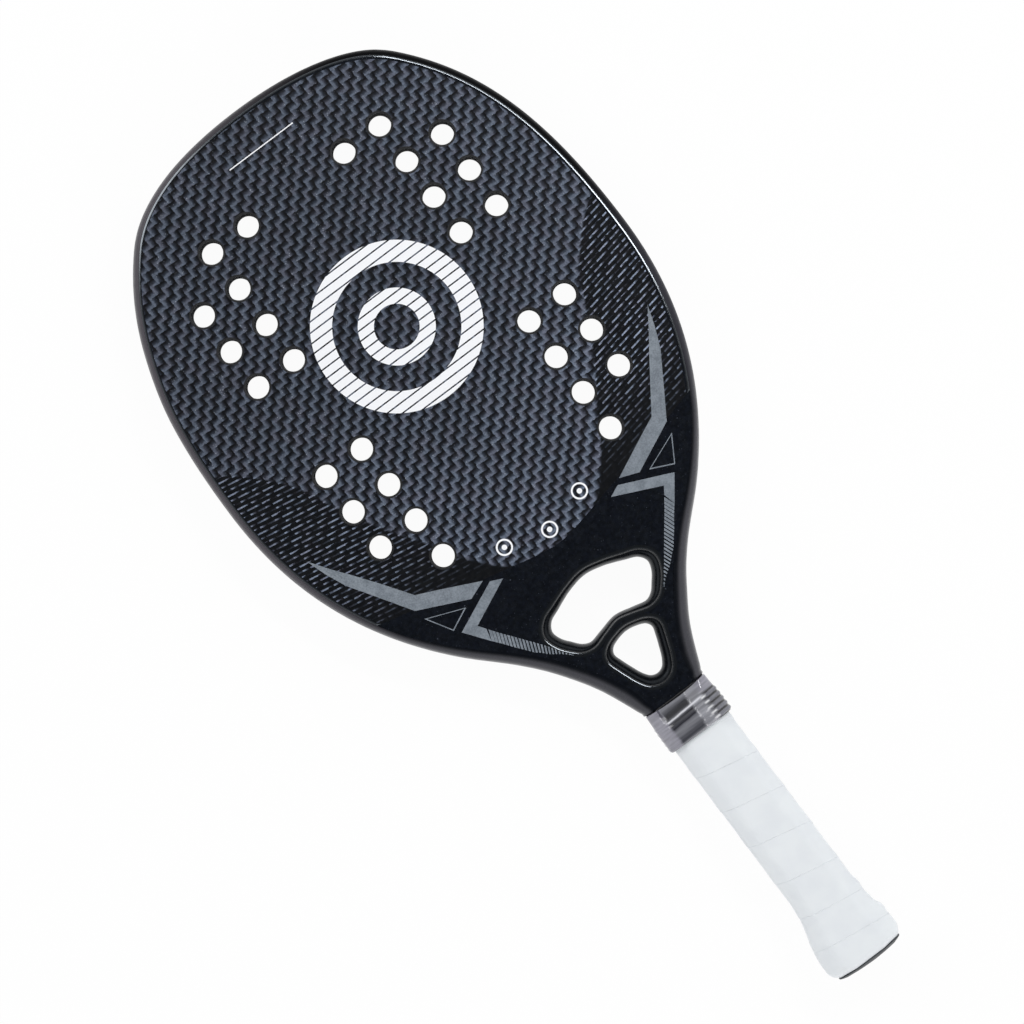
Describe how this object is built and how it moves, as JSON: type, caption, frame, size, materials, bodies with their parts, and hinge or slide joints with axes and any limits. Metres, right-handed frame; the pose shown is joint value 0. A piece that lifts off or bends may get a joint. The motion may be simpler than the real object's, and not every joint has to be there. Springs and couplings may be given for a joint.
{
  "type": "beach tennis racket",
  "caption": "Carbon-faced paddle racket with a drilled head, an open throat, a ribbed collar and a wrapped handle that flares at the butt.",
  "frame": {"origin": "on the surface that the racket lies on, under the middle of its length and width", "axes": "+X across the face, +Y along the racket from the butt towards the tip of the head, +Z out of the front striking face"},
  "size_m": [0.2314, 0.5, 0.0356],
  "materials": {
    "woven_carbon": "coarse twill of carbon cloth under clear resin, semi-gloss",
    "satin_black": "black lacquer over carbon, satin, fine flecks",
    "frame_black": "black lacquer over carbon, satin",
    "core_foam": "closed-cell EVA foam, matt",
    "handle_foam": "rigid polyurethane foam, matt",
    "underwrap": "cushioned sleeve, matt",
    "overgrip": "thin white synthetic wrap, matt with a slight sheen",
    "finishing_tape": "thin black vinyl tape",
    "collar_rubber": "smoky translucent silicone rubber, glossy",
    "butt_plastic": "moulded slate plastic"
  },
  "bodies": {
    "root": {"front_face": "woven_carbon", "back_face": "woven_carbon", "front_throat_skin": "satin_black", "back_throat_skin": "satin_black", "frame_tube": "frame_black", "throat_yoke": "frame_black", "foam_core": "core_foam", "handle_spacer": "core_foam", "front_pallet": "handle_foam", "back_pallet": "handle_foam", "underwrap": "underwrap", "overgrip": "overgrip", "finishing_tape": "finishing_tape", "grip_collar": "collar_rubber", "butt_cap": "butt_plastic", "butt_plug": "butt_plastic"}
  },
  "joints": []
}
